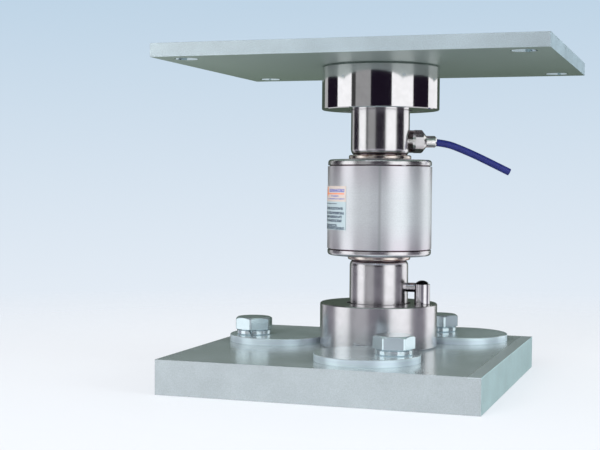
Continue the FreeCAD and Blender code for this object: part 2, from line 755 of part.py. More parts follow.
def make_clamp(number, bolt, head_turn, slit_angle):
    """One eccentric disc with its split lock washer and hexagon bolt."""
    disc_r, thick, edge = size("disc_diameter") / 2, size("disc_thickness"), size("disc_chamfer")
    thread = size("bolt_thread") / 2
    x, y = disc_centre(bolt)
    towards = math.degrees(math.atan2(bolt[1] - y, bolt[0] - x))
    blank = turned("disc_blank_%d" % number, (
        (0, 0), (disc_r, 0), (disc_r, thick - edge), (disc_r - edge, thick), (0, thick)))
    hole = cylinder("disc_hole_%d" % number, thread + size("bolt_play"), thick + 2,
                    size("disc_eccentricity"), 0, -1)
    disc = cut("disc_drilled_%d" % number, blank, [hole])
    keep(place(disc, x, y, BASE_TOP, about_z(towards)), "eccentric_disc_%d" % number)

    outer, inner = size("washer_diameter") / 2, thread + size("washer_play")
    tall, chamfer = size("washer_thickness"), size("washer_chamfer")
    coil = turned("washer_coil_%d" % number, (
        (inner, 0), (outer - chamfer, 0), (outer, chamfer), (outer, tall - chamfer),
        (outer - chamfer, tall), (inner, tall)))
    slant = Rotation(Vector(1, 0, 0), 25)
    slit = box("washer_gap_%d" % number, outer, size("washer_slit"), tall * 3,
               inner - 1, 0, -tall, slant)
    washer = cut("washer_split_%d" % number, coil, [slit])
    level = BASE_TOP + thick
    keep(place(washer, bolt[0], bolt[1], level, about_z(slit_angle)), "lock_washer_%d" % number)

    head, face = size("bolt_head_height"), size("bolt_face_height")
    crown = size("bolt_crown") / 2
    hexagonal = common("bolt_hexagon_%d" % number, [
        hexagon("bolt_prism_%d" % number, size("bolt_flats"), head - face, face),
        cylinder("bolt_corner_%d" % number, size("bolt_corners") / 2, head - face, z=face),
        cone("bolt_chamfer_%d" % number, crown + (head - face) * math.sqrt(3), crown,
             head - face, z=face)])
    shank = tall + thick + size("bolt_bite")
    bolt_solid = fuse("bolt_solid_%d" % number, [
        hexagonal, cylinder("bolt_face_%d" % number, crown, face),
        cylinder("bolt_shank_%d" % number, thread, shank + face / 2, z=-shank)])
    keep(place(bolt_solid, bolt[0], bolt[1], level + tall, about_z(head_turn)),
         "hex_bolt_%d" % number)


def write_parts():
    """Refuse a failed model, then write one file for each sub-part."""
    DOC.recompute()
    for item in DOC.Objects:
        if "Invalid" in item.State or "Error" in item.State:
            raise RuntimeError("%s is %s" % (item.Name, item.State))
    for item in NODES:
        if item.Shape.isNull() or not item.Shape.isValid() or not item.Shape.Solids:
            raise RuntimeError("%s has no valid shape" % item.Label)
    os.makedirs("parts", exist_ok=True)
    for item in NODES:
        item.Shape.exportStep("parts/%s.step" % item.Label)
    print(len(NODES), "sub-parts written")


make_base_plate()
make_lower_cup()
make_upper_cup()
make_top_plate()
make_recess_seals()
make_column()
make_housing()
make_gauges()
make_gland()
make_cable()
make_label()
make_rotation_stop()
for place_number, bolt_point in enumerate(bolt_points()):
    make_clamp(place_number + 1, bolt_point, BOLT_TURNS[place_number], SLIT_ANGLES[place_number])
write_parts()
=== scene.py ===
import bpy
import math
from mathutils import Matrix, Vector


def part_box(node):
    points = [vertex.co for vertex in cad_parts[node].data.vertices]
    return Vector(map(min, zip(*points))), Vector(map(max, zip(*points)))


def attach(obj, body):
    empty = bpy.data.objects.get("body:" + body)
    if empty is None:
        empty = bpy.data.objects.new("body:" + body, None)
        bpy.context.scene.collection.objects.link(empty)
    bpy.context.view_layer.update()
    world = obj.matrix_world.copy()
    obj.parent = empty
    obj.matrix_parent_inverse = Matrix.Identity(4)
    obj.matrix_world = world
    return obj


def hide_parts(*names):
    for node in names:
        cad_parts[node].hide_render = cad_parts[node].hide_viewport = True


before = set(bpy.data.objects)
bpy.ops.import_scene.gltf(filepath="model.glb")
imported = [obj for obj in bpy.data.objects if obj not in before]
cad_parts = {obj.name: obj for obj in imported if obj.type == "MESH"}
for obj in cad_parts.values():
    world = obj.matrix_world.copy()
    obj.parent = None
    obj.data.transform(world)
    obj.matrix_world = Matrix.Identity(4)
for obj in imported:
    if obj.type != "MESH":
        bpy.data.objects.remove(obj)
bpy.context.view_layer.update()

bl_info = {
    "name": "Load Cell Dressing",
    "version": (1, 0, 0),
    "blender": (4, 5, 0),
    "location": "3D View > Sidebar > Load Cell",
    "description": "Finishes a column load cell in its mounting kit and sets up its studio",
    "category": "Object",
}

MM = 0.001
IMAGE_WIDTH = 600


def middle(node):
    """Centre of a node's box."""
    low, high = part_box(node)
    return (Vector(low) + Vector(high)) / 2


def height_of(node):
    """Lowest and highest level of a node."""
    low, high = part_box(node)
    return low[2], high[2]


# Radii, levels and angles that the finishes and the cable follow, read from the frame.
TUBE_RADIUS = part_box("housing_tube")[1][0]
TUBE_FOOT, TUBE_TOP = height_of("housing_tube")
CAN_FOOT, CAN_TOP = height_of("housing_lower_cap")[0], height_of("housing_upper_cap")[1]
BEAD_TOP = height_of("upper_weld_bead")[1]
SLEEVE = middle("gland_sleeve")
GLAND_ANGLE = math.atan2(SLEEVE.y, SLEEVE.x)
LABEL_LOW, LABEL_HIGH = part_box("label_plate")
LABEL_EDGE = math.atan2(LABEL_LOW[1], LABEL_HIGH[0])

# Corner holes of the top plate: distance of their axes from the column's, and countersink radius.
CORNER_HOLES = (110.0 * MM, 82.0 * MM)
CORNER_SINK = 8.3 * MM

# Reach of the gland's flange from the column's axis, and the grooves beside the tube.
FLANGE_REACH = 22.8 * MM
GROOVE_WIDTH = 0.86 * MM
GROOVE_DEPTH = 0.4 * MM

# Distances over which heat tint fades beyond the weld beads, and over which the painted shade on
# the gland's flange comes up beyond the gland's mid-height.
NECK_FADE = (0.6 * MM, 1.6 * MM)
FLANGE_FADE = (0.3 * MM, 1.8 * MM)

# Shares of a gland piece's height between which its painted shade comes up above and below, and of
# the tube's length from its middle over which its brushing gives way to the smoother ends.
GLAND_SHADE_SHARES = (0.16, 0.38)
CAN_END_SHARES = (0.17, 0.51)

# Painted shade and dark reflection on the rotation stop: strip width on the post, share of the
# arm's height.
POST_STRIP = 2.4 * MM
ARM_STRIP = 0.34

# The can's long seam: its place round the axis, and where its dark line fades out, in mm aside.
SEAM_ANGLE = math.radians(-75.3)
SEAM_FADE = (0.1, 1.5)

# Weld spot on the upper groove: place round the axis and from the tube's rim, and half sizes.
SPOT_ANGLE = math.radians(-48.0)
SPOT_INSET = 1.35 * MM
SPOT_RISE = 0.4 * MM
SPOT_HALVES = (1.2 * MM, 1.7 * MM, 1.0 * MM)

# Depth within which a point is taken to lie on a plate's face.
SKIN = 0.1 * MM

# What each part of a finish's own colour is multiplied by: painted shade on the base plate's front
# and towards the top plate's right, painted light on the base plate's right side and the top
# plate's right end, painted shade above and below on the gland, and real marks, tone and heat tint
# on the discs, washers and can.
BASE_FRONT_SHADE = (0.965, 0.935, 0.935)
BASE_SIDE_LIGHT = (0.94, 1.09, 1.10)
TOP_RIGHT_SHADE = (0.77, 0.785, 0.80)
TOP_END_LIGHT = (1.11, 1.19, 1.28)
DISC_MARKS = (0.88, 0.84, 0.92)
WASHER_SHIFT = (1.05, 1.0, 1.0)
GLAND_SHADE_TINT = (0.30, 0.24, 0.25)
CAN_HEAT = (0.87, 0.78, 0.82)

# Roughness that dull zinc has beyond the rest of its plate.
DULLER = 0.12

# Cable route in the gland's vertical plane: distance from the column's axis, and height, in mm.
CABLE_ROUTE = ((26.0, 164.3), (43.5, 164.3), (60.0, 158.3), (76.0, 151.1), (91.4, 143.7))
CABLE_RADIUS = 2.5 * MM


def deselect():
    """Clear the selection, because operators act on all that is selected."""
    if bpy.context.object is not None and bpy.context.object.mode != "OBJECT":
        bpy.ops.object.mode_set(mode="OBJECT")
    bpy.ops.object.select_all(action="DESELECT")


def linked(colour):
    """Shader colour of four numbers from a property's three."""
    return (colour[0], colour[1], colour[2], 1.0)


class Finish:
    """One material and short calls for the nodes it is wired from."""

    def __init__(self, name, colour, metallic, roughness):
        self.material = bpy.data.materials.new(name)
        self.material.use_nodes = True
        self.tree = self.material.node_tree
        self.shader = self.tree.nodes["Principled BSDF"]
        self.shader.inputs["Base Color"].default_value = linked(colour)
        self.shader.inputs["Metallic"].default_value = metallic
        self.shader.inputs["Roughness"].default_value = roughness
        self.place = self.node("ShaderNodeTexCoord").outputs["Object"]
        self.normal = None

    def node(self, kind, **settings):
        item = self.tree.nodes.new(kind)
        for name, value in settings.items():
            setattr(item, name, value)
        return item

    def join(self, output, socket):
        self.tree.links.new(output, socket)

    def stretched(self, scale):
        """Object coordinates with each axis scaled on its own."""
        mapping = self.node("ShaderNodeMapping")
        mapping.inputs["Scale"].default_value = scale
        self.join(self.place, mapping.inputs["Vector"])
        return mapping.outputs["Vector"]

    def noise(self, scale, detail=3.0, rough=0.55, place=None):
        item = self.node("ShaderNodeTexNoise")
        item.inputs["Scale"].default_value = scale
        item.inputs["Detail"].default_value = detail
        item.inputs["Roughness"].default_value = rough
        self.join(place or self.place, item.inputs["Vector"])
        return item.outputs["Fac"]

    def remap(self, value, low, high, start=0.35, end=0.65):
        """Spread a value's middle range over low to high."""
        item = self.node("ShaderNodeMapRange")
        item.inputs["From Min"].default_value = start
        item.inputs["From Max"].default_value = end
        item.inputs["To Min"].default_value = low
        item.inputs["To Max"].default_value = high
        self.join(value, item.inputs["Value"])
        return item.outputs["Result"]

    def maths(self, operation, first, second=0.0):
        item = self.node("ShaderNodeMath", operation=operation)
        for socket, value in zip(item.inputs, (first, second)):
            if isinstance(value, (int, float)):
                socket.default_value = value
            else:
                self.join(value, socket)
        return item.outputs["Value"]

    def tint(self, factor, first, second):
        """Mix of two colours, each a plain colour or another node's output."""
        item = self.node("ShaderNodeMix", data_type="RGBA")
        self.join(factor, item.inputs[0])
        for socket, value in ((item.inputs[6], first), (item.inputs[7], second)):
            if isinstance(value, bpy.types.NodeSocket):
                self.join(value, socket)
            else:
                socket.default_value = linked(value)
        return item.outputs[2]

    def paint(self, output):
        self.join(output, self.shader.inputs["Base Color"])

    def gloss(self, output):
        self.join(output, self.shader.inputs["Roughness"])

    def wired(self, name):
        """What one of the shader's inputs is wired from."""
        return self.shader.inputs[name].links[0].from_socket

    def worn_edge(self, radius):
        """Round the sharp edges in the shading."""
        bevel = self.node("ShaderNodeBevel", samples=4)
        bevel.inputs["Radius"].default_value = radius
        self.normal = bevel.outputs["Normal"]
        self.join(self.normal, self.shader.inputs["Normal"])

    def bump(self, height, distance, strength=1.0):
        item = self.node("ShaderNodeBump")
        item.inputs["Strength"].default_value = strength
        item.inputs["Distance"].default_value = distance
        self.join(height, item.inputs["Height"])
        if self.normal is not None:
            self.join(self.normal, item.inputs["Normal"])
        self.normal = item.outputs["Normal"]
        self.join(self.normal, self.shader.inputs["Normal"])

    def axes(self):
        """The place's X, Y and Z."""
        item = self.node("ShaderNodeSeparateXYZ")
        self.join(self.place, item.inputs["Vector"])
        return item.outputs["X"], item.outputs["Y"], item.outputs["Z"]

    def onto(self, *names):
        """Give the named nodes or pieces this finish, whatever slots they have."""
        for name in names:
            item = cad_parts.get(name) or bpy.data.objects[name]
            item.data.materials.clear()
            item.data.materials.append(self.material)


def shade(tone, factor):
    """A colour, or any row of numbers, multiplied as a whole."""
    return tuple(part * factor for part in tone)


def shifted(tone, factors):
    """A colour with each part multiplied by its own factor."""
    return tuple(part * factor for part, factor in zip(tone, factors))


def numbered(name, count=3):
    """Names of like nodes that are told apart by their numbers."""
    return ["%s_%d" % (name, number) for number in range(1, count + 1)]


def zinc_plate(name, tone, metallic, roughness):
    """Matt zinc on a milled plate: cloudy, finely speckled, with a trace of brushing."""
    finish = Finish(name, tone, metallic, roughness)
    clouds = finish.noise(38.0, 4.0, 0.6)
    speckle = finish.noise(1500.0, 2.0, 0.5)
    both = finish.maths("ADD", finish.maths("MULTIPLY", clouds, 0.45),
                        finish.maths("MULTIPLY", speckle, 0.55))
    finish.paint(finish.tint(finish.remap(both, 0.0, 1.0), shade(tone, 0.88), shade(tone, 1.12)))
    finish.gloss(finish.remap(both, roughness - 0.03, roughness + 0.03))
    finish.worn_edge(0.45 * MM)
    brushed = finish.noise(90.0, 3.0, 0.6, finish.stretched((1.0, 26.0, 26.0)))
    finish.bump(finish.maths("ADD", speckle, brushed), 0.008 * MM, 0.4)
    return finish


def stained(finish, mask, stain, amount=1.0):
    """Another colour over the finish's own where the mask is one."""
    own = finish.wired("Base Color")
    finish.paint(finish.tint(finish.maths("MULTIPLY", mask, amount), own, stain))


def washed(finish, mask, wash):
    """The finish's own colour multiplied by another where the mask is one."""
    item = finish.node("ShaderNodeMix", data_type="RGBA", blend_type="MULTIPLY")
    finish.join(mask, item.inputs[0])
    finish.join(finish.wired("Base Color"), item.inputs[6])
    item.inputs[7].default_value = linked(wash)
    finish.paint(item.outputs[2])


def base_zinc(name, tone, dull_width):
    """Base plate's zinc, with painted shade on its front and painted light on its right side,
    duller on that side and on a strip of the top beside it.
    """
    finish = zinc_plate(name, tone, 0.55, 0.22)
    x, y, z = finish.axes()
    low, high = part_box("base_plate")
    # Painted shade: the front face a little darker and warmer.
    washed(finish, finish.maths("LESS_THAN", y, low[1] + SKIN), BASE_FRONT_SHADE)
    edge = high[0] - dull_width
    blur = 0.6 * MM
    beyond = finish.remap(x, 0.0, 1.0, edge - blur, edge + blur)
    strip = finish.maths("MULTIPLY", beyond, finish.maths("GREATER_THAN", z, high[2] - blur))
    stained(finish, strip, shade(tone, 1.08), 0.7)
    # Painted light: the right side face brighter and bluer.
    side = finish.maths("GREATER_THAN", x, high[0] - SKIN)
    washed(finish, side, BASE_SIDE_LIGHT)
    dull = finish.maths("ADD", strip, finish.maths("MULTIPLY", side, 0.9))
    finish.gloss(finish.maths("ADD", finish.wired("Roughness"),
                              finish.maths("MULTIPLY", dull, DULLER)))
    return finish


def top_zinc(name, tone, underside_shade_near, underside_shade_far):
    """Top plate's zinc: duller on the underside with painted shade there, darker towards the back;
    painted shade towards its right; painted light on its right end; smooth in its corner holes.
    """
    finish = zinc_plate(name, tone, 0.72, 0.32)
    x, y, z = finish.axes()
    low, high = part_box("top_plate")
    below = finish.maths("LESS_THAN", z, low[2] + SKIN / 2)
    # Painted shade on the underside, darker towards the back.
    underside_shade = finish.tint(finish.remap(y, 0.0, 1.0, low[1], high[1]), underside_shade_near, underside_shade_far)
    stained(finish, below, underside_shade, 0.85)
    # Painted shade, darker towards the plate's right.
    washed(finish, finish.remap(x, 0.0, 1.0, low[0] * 0.8, low[0] * 0.1), TOP_RIGHT_SHADE)
    # Painted light on the right end face.
    washed(finish, finish.maths("GREATER_THAN", x, high[0] - SKIN), TOP_END_LIGHT)
    offsets = [finish.maths("SUBTRACT", finish.maths("ABSOLUTE", along), pitch)
               for along, pitch in zip((x, y), CORNER_HOLES)]
    away = finish.maths("SQRT", finish.maths(
        "ADD", *[finish.maths("MULTIPLY", offset, offset) for offset in offsets]))
    hole = finish.maths("MULTIPLY", finish.maths("SUBTRACT", 1.0, below),
                        finish.maths("LESS_THAN", away, CORNER_SINK))
    metallic = finish.shader.inputs["Metallic"]
    finish.join(finish.remap(hole, metallic.default_value, 1.0, 0.0, 1.0), metallic)
    change = finish.maths("SUBTRACT", finish.maths("MULTIPLY", below, DULLER),
                          finish.maths("MULTIPLY", hole, 0.2))
    finish.gloss(finish.maths("ADD", finish.wired("Roughness"), change))
    return finish


def bright_zinc(name, tone, metallic, roughness, edge):
    """Bright zinc plating: bluish and smooth, with faint clouds."""
    finish = Finish(name, tone, metallic, roughness)
    clouds = finish.noise(60.0, 3.0, 0.55)
    finish.paint(finish.tint(finish.remap(clouds, 0.0, 1.0), shade(tone, 0.95), shade(tone, 1.05)))
    finish.gloss(finish.remap(clouds, roughness - 0.02, roughness + 0.02))
    finish.worn_edge(edge)
    return finish


def turned_zinc(name, tone):
    """Bright zinc on the discs, with turning marks and a softer gloss round their rims."""
    finish = bright_zinc(name, tone, 0.65, 0.2, 0.25 * MM)
    top = height_of("eccentric_disc_1")[1] - 0.3 * MM
    rim = finish.maths("LESS_THAN", finish.axes()[2], top)
    marks = finish.noise(30.0, 3.0, 0.6, finish.stretched((0.4, 0.4, 26.0)))
    stained(finish, finish.maths("MULTIPLY", rim, finish.remap(marks, 1.0, 0.0)),
            shifted(tone, DISC_MARKS), 0.8)
    finish.gloss(finish.maths("ADD", finish.wired("Roughness"),
                              finish.maths("MULTIPLY", rim, 0.16)))
    return finish


def polished_steel(name, tone, roughness, wave, foot_roughness=None):
    """Ground and polished stainless steel, with rings left by the grinding wheel."""
    finish = Finish(name, tone, 1.0, roughness)
    rings = finish.noise(30.0, 4.0, 0.65, finish.stretched((0.6, 0.6, 90.0)))
    haze = finish.noise(160.0, 3.0, 0.6)
    finish.paint(finish.tint(finish.remap(haze, 0.0, 1.0), shade(tone, 0.96), shade(tone, 1.03)))
    uneven = finish.remap(finish.maths("MULTIPLY", rings, finish.remap(haze, 0.9, 1.1)), 0.93, 1.08)
    base = roughness
    if foot_roughness is not None:
        base = finish.remap(finish.axes()[2], foot_roughness, roughness, TUBE_FOOT, TUBE_TOP)
    finish.gloss(finish.maths("MULTIPLY", uneven, base))
    finish.worn_edge(0.25 * MM)
    finish.bump(rings, wave, 0.5)
    return finish


def from_middle(finish):
    """Height above or below the middle of the can, and distance from the column's axis."""
    x, y, z = finish.axes()
    rise = finish.maths("ABSOLUTE", finish.maths("SUBTRACT", z, (TUBE_FOOT + TUBE_TOP) / 2))
    return rise, finish.maths("SQRT", finish.maths(
        "ADD", finish.maths("MULTIPLY", x, x), finish.maths("MULTIPLY", y, y)))


def grooved_cap(name, tone, stain):
    """Satin end cap of the can, darkened in its groove beside the tube with heat tint and painted
    shade.
    """
    finish = polished_steel(name, tone, 0.24, 0.003 * MM)
    rise, reach = from_middle(finish)
    half = (TUBE_TOP - TUBE_FOOT) / 2
    near = finish.maths("LESS_THAN", rise, half + GROOVE_WIDTH)
    inside = finish.maths("LESS_THAN", reach, TUBE_RADIUS - GROOVE_DEPTH)
    # Heat tint and painted shade in the groove beside the tube.
    stained(finish, finish.maths("MULTIPLY", near, inside), stain)
    return finish


def welded_column(name, tone, stain):
    """Polished column, duller at its foot, with heat tint in the necks beside the welds."""
    finish = polished_steel(name, tone, 0.18, 0.0015 * MM, 0.25)
    rise, _ = from_middle(finish)
    weld = BEAD_TOP - (TUBE_FOOT + TUBE_TOP) / 2
    start, end = NECK_FADE
    stained(finish, finish.remap(rise, 0.8, 0.0, weld + start, weld + end), stain)
    return finish


def shaded_post(name, tone, dark):
    """Polished post, with painted shade and dark reflection, black, on the strip that faces the
    column.
    """
    finish = polished_steel(name, tone, 0.08, 0.003 * MM)
    _, reach = from_middle(finish)
    centre = middle("rotation_stop_post")
    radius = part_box("rotation_stop_post")[1][0] - centre.x
    strip = math.hypot(*centre.xy) - radius + POST_STRIP
    # Painted shade and dark reflection on the strip that faces the column.
    stained(finish, finish.maths("LESS_THAN", reach, strip), dark)
    return finish


def shaded_arm(name, tone, dark):
    """Polished arm, with painted shade and dark reflection, black, along its underside."""
    finish = polished_steel(name, tone, 0.08, 0.003 * MM)
    low, high = height_of("rotation_stop_arm")
    below = finish.maths("LESS_THAN", finish.axes()[2], low + (high - low) * ARM_STRIP)
    # Painted shade and dark reflection along the underside.
    stained(finish, below, dark)
    return finish


def gland_nickel(name, piece, tone, dark, roughness):
    """Satin nickel on a piece of the gland: painted shade with a reddish tint above and below, and
    painted shade on the flange away from its middle.
    """
    finish = polished_steel(name, tone, roughness, 0.006 * MM)
    _, reach = from_middle(finish)
    aside = finish.maths("ABSOLUTE", finish.maths("SUBTRACT", finish.axes()[2], SLEEVE.z))
    # Painted shade on the flange, left off round its middle.
    stained(finish, finish.maths("MULTIPLY", finish.maths("LESS_THAN", reach, FLANGE_REACH),
                                 finish.remap(aside, 0.0, 1.0, *FLANGE_FADE)), dark)
    low, high = height_of(piece)
    # Painted shade with a reddish tint, darker above and below the gland's mid-height.
    painted_shade = finish.remap(aside, 0.0, 0.8, *shade(GLAND_SHADE_SHARES, high - low))
    stained(finish, painted_shade, shifted(tone, GLAND_SHADE_TINT))
    return finish


def brushed_can(name, tone, roughness):
    """Satin stainless steel, brushed round the axis, with its long seam and smoother ends."""
    finish = Finish(name, tone, 0.8, roughness)
    lines = finish.noise(40.0, 5.0, 0.7, finish.stretched((1.5, 1.5, 160.0)))
    grain = finish.noise(1300.0, 2.0, 0.6)
    both = finish.maths("ADD", finish.maths("MULTIPLY", lines, 0.5),
                        finish.maths("MULTIPLY", grain, 0.5))
    x, y, _ = finish.axes()
    aside = finish.maths("ABSOLUTE", finish.maths(
        "SUBTRACT", finish.maths("ARCTAN2", y, x), SEAM_ANGLE))
    seam = finish.remap(finish.maths("MULTIPLY", aside, TUBE_RADIUS / MM), 1.0, 0.0, *SEAM_FADE)
    plain = finish.tint(finish.remap(both, 0.0, 1.0), shade(tone, 0.92), shade(tone, 1.08))
    edge, _ = from_middle(finish)
    heated = finish.remap(edge, 0.0, 1.0, *shade(CAN_END_SHARES, TUBE_TOP - TUBE_FOOT))
    patches = finish.remap(finish.noise(28.0, 1.0), 0.45, 1.0, 0.42, 0.58)
    tinted = finish.tint(finish.maths("MULTIPLY", heated, patches), plain,
                         shifted(tone, CAN_HEAT))
    finish.paint(finish.tint(seam, tinted, shade(tone, 0.76)))
    rough = finish.remap(heated, roughness, roughness * 0.7, 0.0, 1.0)
    finish.gloss(finish.maths("MULTIPLY", rough, finish.remap(grain, 0.97, 1.03)))
    finish.worn_edge(0.3 * MM)
    return finish


def weld_metal(name, tone, straw):
    """Weld metal: copper heat tint beside the column, straw beside the can, rippled passes."""
    finish = Finish(name, tone, 1.0, 0.24)
    patches = finish.noise(210.0, 3.0, 0.6, finish.stretched((1.0, 1.0, 2.2)))
    rise, _ = from_middle(finish)
    away = finish.maths("SUBTRACT", rise, (CAN_TOP - CAN_FOOT) / 2)
    share = finish.maths("ADD", finish.maths("DIVIDE", away, BEAD_TOP - CAN_TOP),
                         finish.remap(patches, -0.22, 0.22))
    finish.paint(finish.tint(finish.remap(share, 0.0, 1.0, 0.65, 0.95), straw, tone))
    x, y, _ = finish.axes()
    turn = finish.maths("ARCTAN2", y, x)
    ripple = finish.maths("SINE", finish.maths("MULTIPLY", turn, 150.0))
    finish.gloss(finish.remap(patches, 0.16, 0.3))
    finish.bump(ripple, 0.02 * MM, 0.5)
    return finish


def plain_moulded(name, tone, roughness, grain):
    """Plastic, rubber or laminate with a fine grain and a little unevenness of colour."""
    finish = Finish(name, tone, 0.0, roughness)
    clouds = finish.noise(240.0, 3.0)
    finish.paint(finish.tint(finish.remap(clouds, 0.0, 1.0), shade(tone, 0.88), shade(tone, 1.12)))
    finish.gloss(finish.remap(clouds, roughness - 0.05, roughness + 0.05))
    finish.bump(finish.noise(grain, 2.0), 0.02 * MM, 0.4)
    return finish


def label_bands(name, looks):
    """Label film: a cream field over a pale blue one, with rules and broken bars for print."""
    finish = Finish(name, looks.label_field, 0.0, 0.4)
    x, y, z = finish.axes()
    down = finish.remap(z, 1.0, 0.0, LABEL_LOW[2], LABEL_HIGH[2])
    turn = finish.maths("ARCTAN2", y, x)
    across = finish.maths("MULTIPLY", finish.maths("SUBTRACT", LABEL_EDGE, turn),
                          TUBE_RADIUS / MM)
    combine = finish.node("ShaderNodeCombineXYZ")
    finish.join(across, combine.inputs["X"])
    finish.join(finish.maths("MULTIPLY", down, 40.0), combine.inputs["Y"])
    words = finish.noise(0.9, 2.0, 0.8, combine.outputs["Vector"])
    broken = finish.maths("GREATER_THAN", words, 0.44)

    def within(value, start, end):
        """Mask of a value between two others."""
        return finish.maths("MULTIPLY", finish.maths("GREATER_THAN", value, start),
                            finish.maths("LESS_THAN", value, end))

    def bar(top, bottom, left, right):
        """Mask of a bar, in shares of the label's height and in mm from its right end."""
        return finish.maths("MULTIPLY", within(down, top, bottom), within(across, left, right))

    surface = finish.tint(finish.maths("LESS_THAN", down, 0.355), looks.label_field,
                          looks.label_cream)
    surface = finish.tint(bar(0.03, 0.23, 22.5, 25.0), surface, looks.label_orange)
    surface = finish.tint(bar(0.165, 0.187, 1.5, 22.5), surface, looks.label_orange)
    blue_bars = finish.maths("ADD", bar(0.065, 0.14, 1.4, 20.4), bar(0.215, 0.245, 7.1, 17.0))
    blue_bars = finish.maths("ADD", blue_bars, bar(0.28, 0.305, 1.2, 23.0))
    surface = finish.tint(finish.maths("MULTIPLY", blue_bars, broken), surface, looks.label_blue)
    surface = finish.tint(bar(0.395, 0.41, 9.0, 40.0), surface, looks.label_ink)
    lines = None
    for top, right in ((0.48, 2.6), (0.585, 1.6), (0.67, 3.6), (0.76, 3.6), (0.87, 9.0),
                       (0.93, 1.4)):
        line = bar(top, top + 0.062, right, 40.0)
        lines = line if lines is None else finish.maths("ADD", lines, line)
    surface = finish.tint(finish.maths("MULTIPLY", lines, broken), surface, looks.label_ink)
    finish.paint(surface)
    finish.gloss(finish.remap(finish.noise(700.0), 0.34, 0.46))
    return finish


def polar_point(distance, level):
    """Point in the gland's vertical plane, in metres."""
    return Vector((math.cos(GLAND_ANGLE) * distance, math.sin(GLAND_ANGLE) * distance,
                   level)) * MM


def colour_setting(name, description, default, limit=1.0):
    """Colour property with its three parts from zero to a limit."""
    return bpy.props.FloatVectorProperty(name=name, description=description, subtype="COLOR",
                                         default=default, min=0.0, max=limit)


class LoadCellLooks(bpy.types.PropertyGroup):
    """Colours of the load cell's finishes."""

    plate: colour_setting("Base plate", "Colour of the base plate's zinc", (0.52, 0.60, 0.625))
    top_plate: colour_setting("Top plate", "Colour of the top plate's zinc", (0.683, 0.797, 0.855))
    # The underside's colours are painted shade, darker and greener towards the back than at the
    # front edge.
    underside: colour_setting(
        "Top plate's underside", "Greener zinc below the top plate", (0.185, 0.27, 0.175))
    underside_shade_front: colour_setting(
        "Underside's front", "Bluer zinc below the top plate's front edge", (0.405, 0.505, 0.435))
    zinc: colour_setting("Bright zinc", "Colour of bolts, washers and discs", (0.62, 0.73, 0.775))
    steel: colour_setting("Stainless steel", "Colour of the polished parts", (0.72, 0.70, 0.725))
    can: colour_setting("Housing", "Colour of the brushed housing", (0.71, 0.735, 0.77))
    nickel: colour_setting("Gland", "Colour of the gland's nickel", (0.76, 0.75, 0.75))
    # In the caps' groove this colour is heat tint and painted shade; beside the welds on the column
    # it is heat tint.
    stain: colour_setting(
        "Heat stain", "Dark tint in the groove and beside the welds", (0.10, 0.055, 0.07))
    copper: colour_setting("Heat tint", "Darker tint of the weld beads", (0.34, 0.19, 0.15))
    straw: colour_setting("Straw tint", "Lighter tint of the weld beads", (0.76, 0.68, 0.64))
    sheath: colour_setting("Cable sheath", "Colour of the cable", (0.014, 0.019, 0.13))
    label_field: colour_setting("Label field", "Lower field of the label", (0.42, 0.51, 0.55))
    label_cream: colour_setting("Label cream", "Upper field of the label", (0.58, 0.50, 0.46))
    label_orange: colour_setting(
        "Label orange", "Orange bar and rule of the label", (0.86, 0.22, 0.08))
    label_blue: colour_setting("Label blue", "Blue bars of the label", (0.16, 0.18, 0.45))
    label_ink: colour_setting("Label ink", "Grey bars of the label", (0.07, 0.10, 0.14))
    shadow: colour_setting(
        "Shaded steel", "Dark sides of the rotation stop's post and arm", (0.02, 0.018, 0.022))
    # The flange's colour is painted shade.
    flange: colour_setting(
        "Gland's flange", "Dark flange where the gland meets the column", (0.07, 0.055, 0.055))
    black: colour_setting("Black oxide", "Colour of the stop's screw", (0.02, 0.02, 0.022))
    rubber: colour_setting("Rubber", "Colour of the seals", (0.025, 0.025, 0.028))
    foil: colour_setting("Gauge foil", "Colour of the strain gauges", (0.62, 0.40, 0.12))
    board: colour_setting("Board", "Colour of the terminal board", (0.06, 0.26, 0.12))
    leads: colour_setting("Leads", "Colour of the leads' sleeve", (0.72, 0.71, 0.66))


class LoadCellStudio(bpy.types.PropertyGroup):
    """Camera, backdrop and lights."""

    camera_place: bpy.props.FloatVectorProperty(
        name="Camera", description="Place of the camera", subtype="TRANSLATION",
        default=(0.22028, -0.84076, 0.13448), precision=5)
    camera_turn: bpy.props.FloatProperty(
        name="Turn", description="Turn of the view from the plates' front", subtype="ANGLE",
        default=math.radians(18.308))
    camera_pitch: bpy.props.FloatProperty(
        name="Pitch", description="Tilt of the view above the horizon", subtype="ANGLE",
        default=math.radians(-1.890))
    camera_roll: bpy.props.FloatProperty(
        name="Roll", description="Roll of the camera", subtype="ANGLE",
        default=math.radians(0.478))
    focal_pixels: bpy.props.FloatProperty(
        name="Focal length", description="Focal length in pixels of the image width",
        default=1252.42, min=1.0)
    sky: colour_setting("Backdrop top", "Backdrop colour above the object", (0.527, 0.665, 0.796))
    haze: colour_setting("Backdrop foot", "Backdrop and floor colour", (0.895, 0.925, 0.975))
    table: colour_setting("Table", "Lit table as steep reflections show it", (0.68, 0.70, 0.71))
    softbox: colour_setting("Softbox", "Light of the box above the camera", (2.3, 2.4, 2.5), 10.0)
    room: colour_setting("Room", "Dim room high above the backdrop", (0.045, 0.04, 0.05))
    ambient: bpy.props.FloatProperty(
        name="Room light", description="Strength of the plain light from all round",
        default=0.82, min=0.0)
    floor_glow: bpy.props.FloatProperty(
        name="Floor glow", description="Light that the floor gives off, as a lit table",
        default=0.57, min=0.0)
    surround: colour_setting(
        "Dark surround", "Colour of the dark cloth behind the object", (0.075, 0.10, 0.078))
    card_light: colour_setting(
        "Cards", "Colour of the white and grey cards", (0.965, 0.99, 0.98), 2.0)
    card_dark: colour_setting(
        "Card gaps", "Colour of the dark room between the cards", (0.013, 0.009, 0.018))
    card_foot: colour_setting(
        "Card foot", "Light added to the cards below the table's level", (0.28, 0.275, 0.31))
    card_distance: bpy.props.FloatProperty(
        name="Card distance", description="Distance of the cards round the object",
        default=2.2, min=0.5, unit="LENGTH")


